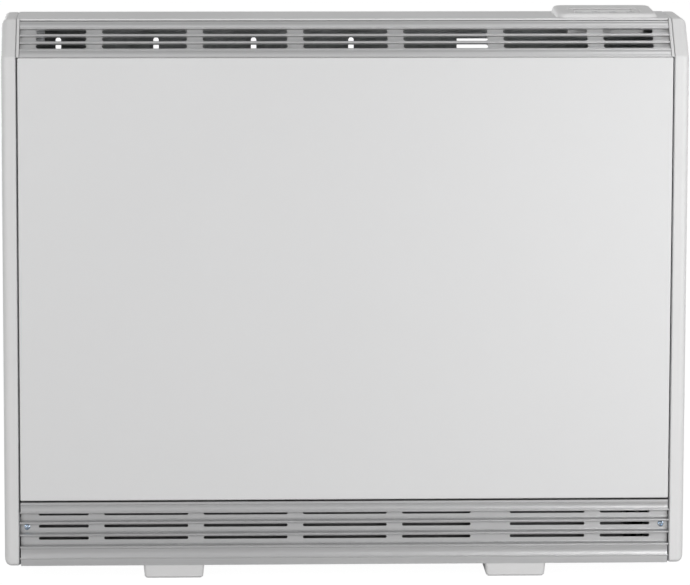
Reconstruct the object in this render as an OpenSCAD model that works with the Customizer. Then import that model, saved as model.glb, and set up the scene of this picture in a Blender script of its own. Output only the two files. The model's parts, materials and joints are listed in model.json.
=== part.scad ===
// Slim storage heater: a free-standing steel case between two moulded end caps, with an extruded
// air outlet grille on the sloping top edge, an air inlet grille at the bottom and a brick core inside.
// Millimetres. Origin on the floor, midway between the ends and between front and wall.
// X runs along the heater, the front faces -Y, +Z is up.

/* [Casing] */
// Overall width over both end caps
case_w = 862; // [780:1:1200]
// Height of the top panel above the floor
case_h = 708; // [640:1:760]
// Depth from the front panel to the back panel
case_d = 150; // [140:1:190]
// Depth of the sloping top edge, which rises by the same amount
slope_run = 44; // [44:1:52]
// Thickness of the casing sheet
sheet_t = 1; // [0.8:0.1:1.4]
// Clear height under the case
foot_h = 17; // [10:1:40]

/* [End caps] */
// Width of one end cap
cap_w = 18; // [14:1:26]
// Wall of the end cap moulding
cap_wall = 2.5; // [2:0.1:3.5]
// Rounding of the outer edge
cap_edge_r = 8.5; // [4:0.5:10]
// Rounding of the corners seen from the side
cap_corner_r = 5; // [2:0.5:8]

/* [Front panel] */
// Gap between the front panel and each end cap
panel_gap = 2.3; // [1:0.1:4]
// Depth of the folded edges of the front panel
panel_return = 12; // [8:1:13]
// Gap above and below the front panel
panel_slit = 2; // [1:0.1:4]

/* [Grilles] */
// Distance from one slot group to the next
slot_pitch = 126; // [110:1:150]
// Length of a full slot
slot_len = 106.5; // [60:0.5:108]
// Solid length at each end of a slot row
slot_end = 25; // [20:1:60]
// Wall of the extruded grilles
grille_wall = 1.8; // [1.4:0.1:2.2]
// Radius of the bead along the front of each rib
nose_r = 1.3; // [1:0.1:1.6]
// Hollow of the curved bands
band_hollow = 0.9; // [0.4:0.1:1.2]
// Height of a slot in the outlet grille
top_slot_h = 6.4; // [4:0.1:6.8]
// Depth of the ribs of the outlet grille
top_rib_d = 6; // [4:0.5:7]
// Plain band below the outlet slots
top_low_band = 12.2; // [11:0.1:13]
// Plain band above the outlet slots
top_high_band = 10.1; // [9:0.1:11]
// Height of the inlet grille
inlet_h = 81.5; // [80:0.5:90]
// Height of a slot in the inlet grille
inlet_slot_h = 3.8; // [3:0.1:5]
// Depth of the ribs of the inlet grille
inlet_rib_d = 8; // [7:0.5:16]
// Plain band below the inlet slots
inlet_low_band = 24; // [22:0.5:26]
// Plain band above the inlet slots
inlet_high_band = 13; // [12:0.5:14]
// Centre of the solid land in the inlet slots
land_x = 185; // [180:1:195]
// Width of the solid land in the inlet slots
land_w = 50; // [30:1:56]
// Width of the strip between an end cap and the outlet grille
cheek_w = 4.4; // [3:0.1:7]

/* [Feet] */
// Distance from the middle to the centre of a foot
foot_x = 217; // [120:1:320]
// Width of a foot at its top
foot_w = 77; // [50:1:110]
// Depth of a foot at its top
foot_d = 138; // [100:1:138]
// Taper of each side of a foot
foot_taper = 1.5; // [0.5:0.1:3]
// Wall of a foot
foot_wall = 3; // [2:0.1:4]

/* [Core] */
// Depth of the air channel in front of the core
channel_d = 16; // [14:1:20]
// Thickness of the front insulation
front_ins = 18; // [12:1:24]
// Thickness of the rear insulation
rear_ins = 26; // [18:1:30]
// Thickness of the side insulation
side_ins = 25; // [15:1:35]
// Thickness of the bottom insulation
base_ins = 25; // [15:1:35]
// Thickness of the top insulation
top_ins = 28; // [15:1:35]
// Height of the tray that carries the core
tray_h = 87; // [70:1:95]
// Free width beside the core on the left
left_bay = 12; // [6:1:40]
// Free width beside the core on the right, for the controls
control_bay = 56; // [54:1:80]
// Bricks side by side
brick_cols = 3; // [2:1:4]
// Bricks on top of each other, each row with one element
brick_rows = 3; // [2:1:4]
// Radius of an element tube
element_r = 4.25; // [3:0.25:5]
// Distance between the two legs of an element
element_legs = 60; // [40:1:80]
// Clearance between an element and its groove
element_play = 0.6; // [0.3:0.1:1.2]

/* [Damper] */
// Angle to which the damper opens
damper_open = 40; // [20:1:40]
// Radius of the damper spindle
spindle_r = 2; // [1.5:0.1:2.5]
// Radial running clearance of the spindle and the plunger
running = 0.05; // [0.02:0.01:0.1]
// Radius of the actuator body
actuator_r = 8; // [6:0.5:9]
// Radius of the actuator plunger
plunger_r = 2.5; // [2:0.1:3]

/* [Controls] */
// Centre of the control unit from the right-hand end of the heater
control_x = 101; // [99:1:130]
// Width of the control bezel
bezel_w = 128; // [120:1:136]
// Depth of the control bezel
bezel_len = 94; // [90:1:96]
// Height of the bezel at its front edge
bezel_front_h = 5.5; // [4.5:0.1:6.5]
// Height of the bezel at its back edge
bezel_back_h = 9; // [7.5:0.1:11]
// Number of buttons
button_count = 4; // [2:1:4]
// Radius of a button
button_r = 5; // [4:0.5:6]
// Travel of a button
button_travel = 0.8; // [0.4:0.1:1]
// Gap round a button
button_gap = 0.35; // [0.3:0.05:0.5]

/* [Back] */
// Distance from the back panel to the wall
wall_gap = 20; // [15:1:40]
// Distance between the two wall fixings
fixing_pitch = 560; // [400:1:620]
// Radius of a wall fixing hole
fixing_r = 3.5; // [2.5:0.1:4.5]
// Distance between the arched openings at the top of the back panel
arch_pitch = 125; // [110:1:128]
// Width of an arched opening
arch_w = 7; // [5:0.5:10]
// Radius of the cable opening in the gland
gland_r = 4.5; // [3.5:0.1:5.5]

/* [Hidden] */
$fn = 48;

white = [0.9, 0.9, 0.89];
steel = [0.62, 0.63, 0.64];
alloy = [0.74, 0.74, 0.75];
zinc = [0.7, 0.72, 0.75];
wool = [0.82, 0.76, 0.62];
brick = [0.38, 0.28, 0.24];
plastic_dark = [0.16, 0.16, 0.17];
touch = 0.01;

// Main planes. Depth runs from the front panel towards the wall.
front_y = -(case_d + wall_gap) / 2;
seam_x = case_w / 2 - cap_w;
inside_x = seam_x - sheet_t;
base_z = foot_h;
slope_z = case_h - slope_run;
slope_len = slope_run * sqrt(2);
back_d = case_d - sheet_t;

// Front panel and inlet grille
panel_half = seam_x - panel_gap;
panel_bend = sheet_t + 1;
inlet_gap = 1.2;
inlet_half = seam_x - inlet_gap;
inlet_top_z = base_z + inlet_h;
panel_low_z = inlet_top_z + panel_slit;
band_set = 0.5;
lip_d = band_set + 0.8;
panel_high_z = slope_z - lip_d / sqrt(2) - 0.2;
slot_limit = seam_x - slot_end;
shortest_slot = 20;
no_land = case_w;
slot_reach = floor((slot_limit - shortest_slot + slot_len / 2) / slot_pitch);
inlet_bay = 15.6;
inlet_ribs = [
    inlet_low_band, inlet_low_band + inlet_bay, inlet_low_band + 2 * inlet_bay,
    inlet_h - inlet_high_band
];
inlet_slot_up = min(inlet_bay, inlet_ribs[3] - inlet_ribs[2]) - grille_wall / 2 - 0.45
    - inlet_slot_h / 2;
inlet_back_d = inlet_rib_d + grille_wall;
inlet_screw_r = 2;
inlet_screw_x = inlet_half - 9.5;
inlet_screw_z = base_z + (inlet_ribs[1] + inlet_ribs[2]) / 2 + 1.5;

// Outlet grille, drawn upright and then laid on the slope
outlet_gap = 0.6;
outlet_half = seam_x - cheek_w - outlet_gap;
top_fold_h = 2.2;
outlet_step = 1.2;
outlet_len = slope_len - top_fold_h * sqrt(2) - outlet_step;
outlet_bay = (outlet_len - top_high_band - top_low_band) / 3;
outlet_ribs = [for (k = [0:3]) top_low_band + k * outlet_bay];
louvre_rise = top_rib_d - nose_r;
louvre_half = grille_wall / sqrt(2);
outlet_slot_up = outlet_bay + louvre_rise - louvre_half - 0.35 - top_slot_h / 2;

// Core, from the outside inwards
inner_panel_d = panel_return + 4;
inner_panel_low = panel_low_z + 4;
channel_front = inner_panel_d + sheet_t;
channel_back = channel_front + channel_d;
tray_z = base_z + sheet_t + tray_h;
shelf_z = tray_z + sheet_t;
cover_drop = 14;
cover_z = slope_z - cover_drop;
box_left = -inside_x + left_bay;
box_right = inside_x - control_bay;
core_left = box_left + side_ins;
core_right = box_right - side_ins;
core_front = channel_back + front_ins;
core_back = back_d - rear_ins;
core_mid = (core_front + core_back) / 2;
core_low = shelf_z + base_ins;
core_high = cover_z - top_ins;
brick_w = (core_right - core_left) / brick_cols;
brick_t = (core_back - core_front) / 2;
brick_h = (core_high - core_low) / brick_rows;
brick_joint = 0.4;
element_bend = 40;
element_tail = 18;
sensor_r = 3;
sensor_len = 60;

// Damper, hinged along the back of the air channel
spindle_d = channel_back + 4;
spindle_z = cover_z + sheet_t + 5;
bearing_t = 1.5;
bearing_x = 8;
bearing_left = box_left + bearing_x;
bearing_right = box_right - bearing_x;
fit_gap = 0.02;
flap_t = 1.2;
flap_clear = 0.4;
sleeve_r = spindle_r + 1.2;
seat_z = spindle_z - sleeve_r - flap_clear;
lever_x = box_right + 26;
lever_t = 3;
lever_w = 6;
lever_drop = 15;
push_drop = 12;
push_gap = 0.4;
plunger_out = 24;
plunger_in = 14;
actuator_len = 34;
actuator_d = spindle_d + lever_t / 2 + push_gap + plunger_out;
actuator_z = spindle_z - push_drop;
bracket_at = 14;

// Control unit. Its top face leans back, and the recess for the keys and the display leans with it.
control_mid = case_w / 2 - control_x;
bezel_d = slope_run + 5;
bezel_aside = 2;
bezel_tilt = atan((bezel_back_h - bezel_front_h) / bezel_len);
recess_w = 92;
recess_len = 46;
recess_deep = 1.3;
recess_in = 11;
recess_d = bezel_d + recess_in;
housing_wall = 2;
housing_w = recess_w + 4;
housing_len = recess_len + 16;
housing_h = 20;
housing_d = recess_d - 8;
cutout_play = 0.5;
board_z = case_h - 13;
board_t = 1.6;
board_edge = 3;
button_pitch = 22;
button_in = 9;
button_row_d = recess_d + button_in;
button_top = case_h + bezel_front_h + (recess_in + button_in) * tan(bezel_tilt) - 0.1;
switch_h = 5;
switch_gap = 0.3;
lens_w = 74;
lens_len = 24;
lens_t = 1.2;
lens_gap = 0.1;
lens_in = 31;
lens_d = recess_d + lens_in;

// Cut-out with its reset button, reached through the inner front panel
cutout_w = 26;
cutout_x = box_right + cutout_w / 2;
cutout_z = cover_z - 90;
cutout_h = 34;
cutout_depth = 22;
cutout_d = channel_front + 5;
reset_r = 3;
reset_travel = 1.5;
reset_out = 6;
reset_in = 6;
reset_sunk = 3.5;

// Mains connection at the bottom of the control bay
gland_x = inside_x - 27;
gland_z = base_z + 45;
gland_seat_r = 8;
block_low = base_z + 80;
block_h = 60;

// Screws of the casing
casing_screw_r = 2;
screw_play = 0.15;
shield_screw_x = inside_x - 6;
shield_screw_z = [inner_panel_low + 40, (inner_panel_low + cover_z) / 2, cover_z - 40];
foot_front = 1;
foot_screw_places = [foot_front + foot_d * 0.3, foot_front + foot_d * 0.75];
foot_screw_r = 2;
foot_head_r = 4;
foot_head_up = 4;

// Wall fixings
bracket_screw_places = [-12, 12];
bracket_w = 40;
bracket_t = 1.5;
bracket_up = 15;
bracket_flange = 35;
bracket_tail = 20;
bracket_screw_z = cover_z + sheet_t + 7;
fixing_z = bracket_screw_z - bracket_up - bracket_flange / 2;

// Depths and side elevations stand on the front of the case
module at_front() { translate([0, front_y, 0]) children(); }

// A section drawn as (depth, height), run along X and centred
module along_x(len) {
    translate([-len / 2, 0, 0]) rotate([90, 0, 90]) linear_extrude(len) children();
}

// A front elevation drawn as (x, height), run back from depth d
module facing(d, t) {
    translate([0, d + t, 0]) rotate([90, 0, 0]) linear_extrude(t) children();
}

// A box between two corners given as [x, depth, height]
module block(low, high) { translate(low) cube(high - low); }

// A cylinder that runs back from depth d
module rod_back(r, len, x, d, z) { translate([x, d, z]) rotate([-90, 0, 0]) cylinder(r = r, h = len); }

// A cylinder that runs along +X
module rod_right(r, len, x, d, z) { translate([x, d, z]) rotate([0, 90, 0]) cylinder(r = r, h = len); }

// A slot with round ends
module obround(len, wide) {
    square([len - wide, wide], center = true);
    for (side = [-1, 1]) translate([side * (len - wide) / 2, 0]) circle(d = wide);
}

// A rectangle with round corners, centred
module round_rect(w, h, r) {
    square([w - 2 * r, h], center = true);
    square([w, h - 2 * r], center = true);
    for (x = [-1, 1], y = [-1, 1]) translate([x * (w / 2 - r), y * (h / 2 - r)]) circle(r = r);
}

// Side outline of the case as (depth, height)
module case_outline(inset) {
    offset(r = cap_corner_r) offset(r = -cap_corner_r - inset) polygon([
        [0, base_z], [case_d, base_z], [case_d, case_h], [slope_run, case_h], [0, slope_z]
    ]);
}

// ---------- casing ----------

// End cap drawn for the right-hand end: a hollow moulding with a rounded outer edge
module end_cap() {
    stiffener_z = [0.28, 0.5, 0.72];
    inner_chamfer = 0.8;
    hollow_w = cap_w - max(cap_wall, cap_edge_r / 2);
    at_front() translate([seam_x, 0, 0]) rotate([90, 0, 90]) {
        difference() {
            hull() {
                linear_extrude(touch) case_outline(inner_chamfer);
                translate([0, 0, inner_chamfer])
                    linear_extrude(cap_w - cap_edge_r - inner_chamfer) case_outline(0);
                for (a = [15:15:90])
                    translate([0, 0, cap_w - cap_edge_r + cap_edge_r * sin(a) - touch])
                        linear_extrude(touch) case_outline(cap_edge_r * (1 - cos(a)));
            }
            translate([0, 0, -touch]) linear_extrude(hollow_w) case_outline(cap_wall + 1.5);
        }
        for (share = stiffener_z)
            translate([cap_wall, base_z + share * (case_h - base_z), 0])
                cube([case_d - 2 * cap_wall, cap_wall, hollow_w]);
    }
}

module left_end_cap() { color(white) mirror([1, 0, 0]) end_cap(); }
module right_end_cap() { color(white) end_cap(); }

// Side plate drawn for the right-hand end: a folded sheet behind the end cap
module side_plate() {
    flange = 12;
    inset = 3;
    at_front() {
        translate([inside_x, 0, 0]) rotate([90, 0, 90]) linear_extrude(sheet_t) polygon([
            [inset, base_z + sheet_t], [back_d, base_z + sheet_t],
            [back_d, case_h - sheet_t], [slope_run + inset, case_h - sheet_t],
            [inset, slope_z - sheet_t]
        ]);
        difference() {
            block([inside_x - flange, inner_panel_d - sheet_t, inner_panel_low],
                [inside_x + touch, inner_panel_d, cover_z]);
            for (z = shield_screw_z)
                rod_back(casing_screw_r, sheet_t + 2, shield_screw_x, inner_panel_d - 2, z);
        }
        block([inside_x - flange, back_d - sheet_t, base_z + sheet_t + flange],
            [inside_x + touch, back_d, cover_z]);
    }
}

// Tab behind the outlet grille, drawn for the right-hand end: a drilled plate with a step up to a lug
module grille_tab() {
    tab_deep = top_rib_d + grille_wall + 1.4;
    tab_len = 35;
    tab_low = 33;
    step_up = 45.5;
    lug_len = 28;
    lug_rise = 1;
    lug_high = 54;
    hole_r = 3.2;
    hole_up = 41;
    hole_in = 7.5;
    at_front() on_slope() {
        difference() {
            block([inside_x - tab_len, tab_deep, tab_low],
                [inside_x + touch, tab_deep + sheet_t, lug_high]);
            rod_back(hole_r, sheet_t + 2, inside_x - tab_len + hole_in, tab_deep - 1,
                hole_up);
        }
        block([inside_x - lug_len, tab_deep - lug_rise, step_up],
            [inside_x + touch, tab_deep + touch, lug_high]);
    }
}

module left_side_plate() {
    color(steel) mirror([1, 0, 0]) {
        side_plate();
        grille_tab();
    }
}
module right_side_plate() { color(steel) side_plate(); }

// Back panel with arched openings, a hand hole, fixing holes and stiffening pads
module back_panel() {
    arch_top = case_h - 33;
    arch_h = 24;
    arch_first = -inside_x + 49;
    arch_last = arch_first + 3 * arch_pitch;
    hand_w = 52;
    hand_h = 32;
    hand_x = arch_last + 162;
    pad_x = [arch_first + 69, arch_last - 8, hand_x + 66];
    pad_low = cover_z + 3;
    pad_high = case_h - 8;
    pad_low_half = 33;
    pad_high_half = 13;
    color(steel) at_front() difference() {
        union() {
            facing(back_d, sheet_t) translate([-inside_x, base_z + sheet_t])
                square([2 * inside_x, case_h - base_z - 2 * sheet_t]);
            for (x = pad_x) facing(back_d - sheet_t, sheet_t + touch) polygon([
                [x - pad_low_half, pad_low], [x + pad_low_half, pad_low],
                [x + pad_high_half, pad_high], [x - pad_high_half, pad_high]
            ]);
        }
        for (k = [0:3]) translate([arch_first + k * arch_pitch, 0, 0]) {
            facing(back_d - 2, sheet_t + 4) translate([-arch_w / 2, arch_top - arch_h])
                square([arch_w, arch_h - arch_w / 2]);
            rod_back(arch_w / 2, sheet_t + 4, 0, back_d - 2, arch_top - arch_w / 2);
        }
        block([hand_x - hand_w / 2, back_d - 2, arch_top - hand_h],
            [hand_x + hand_w / 2, case_d + 2, arch_top - 2]);
        rod_back(gland_seat_r, sheet_t + 4, gland_x, back_d - 2, gland_z);
        for (side = [-1, 1], x = bracket_screw_places)
            rod_back(casing_screw_r, sheet_t + 4, side * fixing_pitch / 2 + x, back_d - 2,
                bracket_screw_z);
    }
}

// Bottom of the case, which carries the core tray and the feet
module base_plate() {
    front = inlet_rib_d + grille_wall + 1;
    lip = 8;
    vent_len = 90;
    vent_w = 8;
    color(steel) at_front() difference() {
        union() {
            block([-seam_x, front, base_z], [seam_x, case_d, base_z + sheet_t]);
            block([-inside_x, front, base_z], [inside_x, front + sheet_t, base_z + lip]);
        }
        for (k = [-2:2]) translate([k * slot_pitch, channel_front + 8, base_z - 1])
            linear_extrude(sheet_t + 2) obround(vent_len, vent_w);
        for (side = [-1, 1], place = foot_screw_places) translate([side * foot_x, place, base_z - 1])
            cylinder(r = foot_screw_r, h = sheet_t + 2);
    }
}

// Foot drawn in the middle of the heater: a hollow moulding with a flat sole
module foot() {
    sole_r = 2;
    corner = 4;
    boss_r = 6.5;
    at_front() translate([0, foot_front + foot_d / 2, 0]) difference() {
        union() {
            difference() {
                hull() {
                    translate([0, 0, foot_h - touch]) linear_extrude(touch)
                        round_rect(foot_w, foot_d, corner);
                    translate([0, 0, sole_r]) linear_extrude(touch)
                        round_rect(foot_w - 2 * foot_taper, foot_d - 2 * foot_taper, corner);
                    linear_extrude(touch) round_rect(foot_w - 2 * foot_taper - 2 * sole_r,
                        foot_d - 2 * foot_taper - 2 * sole_r, corner);
                }
                translate([0, 0, foot_wall]) linear_extrude(foot_h)
                    round_rect(foot_w - 2 * foot_taper - 2 * foot_wall,
                        foot_d - 2 * foot_taper - 2 * foot_wall, corner);
            }
            for (place = foot_screw_places) translate([0, place - foot_front - foot_d / 2, 1])
                cylinder(r = boss_r, h = foot_h - 1);
        }
        for (place = foot_screw_places) translate([0, place - foot_front - foot_d / 2, -1]) {
            cylinder(r = foot_screw_r + screw_play, h = foot_h + 2);
            cylinder(r = foot_head_r + 2 * screw_play, h = foot_head_up + 1);
        }
    }
}

module left_foot() { color(white) translate([-foot_x, 0, 0]) foot(); }
module right_foot() { color(white) translate([foot_x, 0, 0]) foot(); }

module foot_screws() {
    color(zinc) at_front() for (side = [-1, 1], place = foot_screw_places)
        translate([side * foot_x, place, 0]) {
            translate([0, 0, foot_head_up - 2]) cylinder(r = foot_head_r, h = 2);
            translate([0, 0, foot_head_up - touch])
                cylinder(r = foot_screw_r - screw_play, h = base_z + 6 - foot_head_up);
        }
}

// Block the size of the front panel with its four front edges rounded; inset draws in every face
module panel_form(inset, deep) {
    r = panel_bend - inset;
    half = panel_half - inset;
    low = panel_low_z + inset;
    high = panel_high_z - inset;
    intersection() {
        translate([0, 0, low]) linear_extrude(high - low) {
            translate([-half, inset + r]) square([2 * half, deep - inset - r]);
            translate([r - half, inset]) square([2 * (half - r), deep - inset]);
            for (side = [-1, 1]) translate([side * (half - r), inset + r]) circle(r = r);
        }
        along_x(2 * half) {
            translate([inset + r, low]) square([deep - inset - r, high - low]);
            translate([inset, low + r]) square([deep - inset, high - low - 2 * r]);
            for (z = [low + r, high - r]) translate([inset + r, z]) circle(r = r);
        }
    }
}

// Front panel: a tray of painted sheet, open to the back, with its corners relieved for folding
module front_panel() {
    relief = 1.6;
    color(white) at_front() difference() {
        panel_form(0, panel_return);
        panel_form(sheet_t, panel_return + 1);
        for (side = [-1, 1], z = [panel_low_z, panel_high_z])
            translate([side * panel_half, panel_return / 2, z]) rotate([0, 45, 0])
                cube([relief * sqrt(2), panel_return + 2, relief * sqrt(2)], center = true);
    }
}

// Heat shield behind the front panel, which also forms the air channel of the core
module inner_front_panel() {
    seat_w = 4;
    hole_r = reset_r + 1.5;
    color(steel) at_front() difference() {
        union() {
            facing(inner_panel_d, sheet_t) translate([-inside_x + 1, inner_panel_low])
                square([2 * inside_x - 2, seat_z - inner_panel_low]);
            block([box_left, channel_front - touch, seat_z - sheet_t],
                [box_right, channel_front + seat_w, seat_z]);
            block([box_left, channel_front - touch, inner_panel_low],
                [box_left + sheet_t, channel_back, cover_z]);
            block([box_right - sheet_t, channel_front - touch, inner_panel_low],
                [box_right, channel_back, cover_z]);
        }
        rod_back(hole_r, sheet_t + 2, cutout_x, inner_panel_d - 1, cutout_z);
        for (side = [-1, 1], z = shield_screw_z)
            rod_back(casing_screw_r, sheet_t + 2, side * shield_screw_x, inner_panel_d - 1, z);
    }
}

// Top panel with the opening for the control unit
module top_panel() {
    fold_r = sheet_t + 0.5;
    fold_d = slope_run + fold_r;
    color(white) at_front() difference() {
        union() {
            block([-inside_x, fold_d, case_h - sheet_t], [inside_x, case_d, case_h]);
            along_x(2 * outlet_half) {
                translate([slope_run, case_h - top_fold_h])
                    square([sheet_t, top_fold_h - fold_r]);
                translate([fold_d, case_h - fold_r]) intersection() {
                    difference() {
                        circle(r = fold_r);
                        circle(r = fold_r - sheet_t);
                    }
                    translate([-fold_r, 0]) square([fold_r + touch, fold_r]);
                }
            }
        }
        block([control_mid - housing_w / 2 - cutout_play, housing_d - cutout_play, case_h - 2],
            [control_mid + housing_w / 2 + cutout_play, housing_d + housing_len + cutout_play,
            case_h + 1]);
    }
}

// ---------- grilles ----------

// A shallow hollow cut along a band, between two heights
module band_scoop(low, high) {
    chord = high - low;
    r = (chord * chord / 4 + band_hollow * band_hollow) / (2 * band_hollow);
    translate([band_set + band_hollow - r, (low + high) / 2]) circle(r = r, $fn = 96);
}

// A louvre that runs level from its bead back to the web of a grille laid on the slope
module louvre(z, rib_d) {
    translate([nose_r, z]) {
        circle(r = nose_r, $fn = 24);
        rotate(45) translate([0, -grille_wall / 2])
            square([(rib_d + grille_wall / 2 - nose_r) * sqrt(2), grille_wall]);
    }
}

// A band of the section with its scoop
module band(low, high, scoop_low, scoop_high) {
    difference() {
        translate([band_set, low]) square([grille_wall + band_hollow, high - low]);
        band_scoop(scoop_low, scoop_high);
    }
}

// One rib with its bead and the fillet that runs into the web above it
module rib(z, rib_d, fillet) {
    translate([nose_r, z]) circle(r = nose_r, $fn = 24);
    translate([nose_r, z - grille_wall / 2]) square([rib_d + grille_wall - nose_r, grille_wall]);
    translate([rib_d - fillet, z + grille_wall / 2]) difference() {
        square([fillet + touch, fillet]);
        translate([0, fillet]) circle(r = fillet, $fn = 32);
    }
}

// A band with its scoop held clear of a plain lip along its upper edge by a fine groove
module lipped_band(low, high, scoop_low, lip) {
    groove_w = 0.6;
    groove_deep = 0.5;
    groove_low = high - lip - groove_w;
    difference() {
        band(low, high, scoop_low, groove_low - groove_w / 2);
        translate([0, groove_low]) square([band_set + groove_deep, groove_w]);
    }
}

// Section of the inlet grille as (depth, height): two lipped bands, four ribs and the slotted web
module inlet_section(bead_up, fillet, lip) {
    last = len(inlet_ribs) - 1;
    lipped_band(0, inlet_ribs[0], bead_up + nose_r, nose_r + band_set);
    lipped_band(inlet_ribs[last], inlet_h, inlet_ribs[last] + nose_r, lip);
    for (k = [0:last]) rib(inlet_ribs[k], inlet_rib_d, k < last ? fillet : touch);
    translate([inlet_rib_d, inlet_ribs[0]])
        square([grille_wall, inlet_ribs[last] - inlet_ribs[0]]);
    translate([nose_r, bead_up]) circle(r = nose_r, $fn = 24);
}

// Section of the outlet grille, upright: two bands, level louvres, the web and a hooked top edge
module outlet_section() {
    last = len(outlet_ribs) - 1;
    web_up = louvre_rise + grille_wall / 2;
    hook_len = 8.6;
    hook_up = case_h - sheet_t - slope_z - (outlet_len - band_set) / sqrt(2);
    band(0, outlet_ribs[0], nose_r, outlet_ribs[0] - nose_r);
    band(outlet_ribs[last], outlet_len, outlet_ribs[last] + nose_r, outlet_len - nose_r);
    for (z = outlet_ribs) louvre(z, top_rib_d);
    translate([top_rib_d, outlet_ribs[0] + web_up])
        square([grille_wall, outlet_ribs[last] - outlet_ribs[0]]);
    translate([band_set, outlet_len]) rotate(45) {
        translate([0, -grille_wall]) square([hook_len, grille_wall]);
        translate([hook_len - grille_wall, -grille_wall])
            square([grille_wall, grille_wall + hook_up]);
    }
}

// Slots of one row, given as [from, to], with an optional solid land
function slot_spans(land_from, land_to) = [
    for (k = [-slot_reach:slot_reach])
        let (raw_from = max(k * slot_pitch - slot_len / 2, -slot_limit))
        let (raw_to = min(k * slot_pitch + slot_len / 2, slot_limit))
        let (from = raw_from > land_from ? max(raw_from, land_to) : raw_from)
        let (to = raw_from < land_from ? min(raw_to, land_from) : raw_to)
        if (to - from > shortest_slot / 2) [from, to]
];

module slot_rows(ribs, slot_up, slot_h, rib_d, spans) {
    for (k = [0:len(ribs) - 2], span = spans)
        facing(rib_d - touch, grille_wall + 1)
            translate([(span[0] + span[1]) / 2, ribs[k] + slot_up])
                obround(span[1] - span[0], slot_h, $fn = 24);
}

// Lays upright work on the sloping top edge
module on_slope() { translate([0, 0, slope_z]) rotate([-45, 0, 0]) children(); }

module outlet_grille() {
    color(alloy) at_front() on_slope() difference() {
        along_x(2 * outlet_half) difference() {
            outlet_section();
            translate([lip_d, -touch]) polygon([[0, 0], [top_rib_d, 0], [top_rib_d, top_rib_d]]);
        }
        slot_rows(outlet_ribs, outlet_slot_up, top_slot_h, top_rib_d, slot_spans(no_land, no_land));
    }
}

// Strip between the outlet grille and the right-hand end cap
module cheek() {
    deep = top_rib_d + grille_wall;
    at_front() on_slope() translate([inside_x - (cheek_w - sheet_t) / 2, 0, 0])
        along_x(cheek_w - sheet_t)
            polygon([[0, 0], [lip_d, 0], [deep, deep - lip_d], [deep, slope_len],
                [0, slope_len]]);
}

module left_cheek() { color(white) mirror([1, 0, 0]) cheek(); }
module right_cheek() { color(white) cheek(); }

module inlet_grille() {
    bead_up = 9.5;
    bead_out = 1.2;
    inlet_lip = 2.9;
    foot_len = inlet_rib_d + grille_wall - band_set;
    color(alloy) at_front() difference() {
        translate([0, 0, base_z]) {
            along_x(2 * inlet_half) for (z = concat(bead_up, inlet_ribs))
                translate([nose_r, z]) circle(r = nose_r, $fn = 24);
            along_x(2 * (inlet_half - bead_out)) {
                inlet_section(bead_up, 3, inlet_lip);
                translate([band_set, 0]) square([foot_len, grille_wall]);
                translate([band_set, inlet_h - grille_wall]) square([foot_len, grille_wall]);
            }
        }
        translate([0, 0, base_z]) slot_rows(inlet_ribs, inlet_slot_up, inlet_slot_h, inlet_rib_d,
            slot_spans(land_x - land_w / 2, land_x + land_w / 2));
        for (side = [-1, 1])
            rod_back(inlet_screw_r + screw_play, grille_wall + 2, side * inlet_screw_x,
                inlet_rib_d - 1, inlet_screw_z);
    }
}

// Angles on the side plates that take the screws of the inlet grille
module inlet_grille_tabs() {
    tab_t = 1.5;
    tab_w = 16;
    tab_half = 12;
    tab_len = 26;
    color(steel) at_front() for (side = [0, 1]) mirror([side, 0, 0]) difference() {
        union() {
            block([inside_x - tab_w, inlet_back_d, inlet_screw_z - tab_half],
                [inside_x, inlet_back_d + tab_t, inlet_screw_z + tab_half]);
            block([inside_x - tab_t, inlet_back_d, inlet_screw_z - tab_half],
                [inside_x, inlet_back_d + tab_len, inlet_screw_z + tab_half]);
        }
        rod_back(inlet_screw_r, 4, inlet_screw_x, inlet_back_d - 1, inlet_screw_z);
    }
}

module inlet_grille_screws() {
    head_r = 3.8;
    head_t = 2.4;
    color(zinc) at_front() for (side = [-1, 1]) difference() {
        union() {
            rod_back(inlet_screw_r - screw_play, 12, side * inlet_screw_x, inlet_rib_d - touch,
                inlet_screw_z);
            rod_back(head_r, head_t, side * inlet_screw_x, inlet_rib_d - head_t, inlet_screw_z);
        }
        for (turn = [0, 90]) translate([side * inlet_screw_x, inlet_rib_d - head_t, inlet_screw_z])
            rotate([0, turn, 0]) cube([4.2, 2.4, 0.9], center = true);
    }
}

// ---------- core ----------

// Folded tray that lifts the core off the bottom
module core_tray() {
    color(steel) at_front() {
        block([box_left, channel_back, tray_z], [box_right, back_d, shelf_z]);
        block([box_left, channel_back, base_z + sheet_t],
            [box_right, channel_back + sheet_t, tray_z + touch]);
        block([box_left, back_d - sheet_t, base_z + sheet_t],
            [box_right, back_d, tray_z + touch]);
    }
}

// Steel cover over the insulation, with a lip down each end
module core_cover() {
    lip = 14;
    color(steel) at_front() {
        block([box_left - sheet_t, channel_back, cover_z],
            [box_right + sheet_t, back_d, cover_z + sheet_t]);
        block([box_left - sheet_t, channel_back, cover_z - lip],
            [box_left, back_d - sheet_t, cover_z + touch]);
        block([box_right, channel_back, cover_z - lip],
            [box_right + sheet_t, back_d - sheet_t, cover_z + touch]);
    }
}

module base_insulation() {
    color(wool) at_front() block([core_left, core_front, shelf_z], [core_right, core_back, core_low]);
}
module top_insulation() {
    color(wool) at_front() block([core_left, core_front, core_high], [core_right, core_back, cover_z]);
}
module rear_insulation() {
    color(wool) at_front() block([core_left, core_back, shelf_z], [core_right, back_d, cover_z]);
}
module front_insulation() {
    color(wool) at_front() block([core_left, channel_back, shelf_z],
        [core_right, core_front, cover_z]);
}
module left_insulation() {
    color(wool) at_front() block([box_left, channel_back, shelf_z], [core_left, back_d, cover_z]);
}
module right_insulation() {
    color(wool) at_front() difference() {
        block([core_right, channel_back, shelf_z], [box_right, back_d, cover_z]);
        for (row = [1:brick_rows]) element_path(row, element_r + element_play);
        sensor_path(sensor_r + element_play);
    }
}

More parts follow.
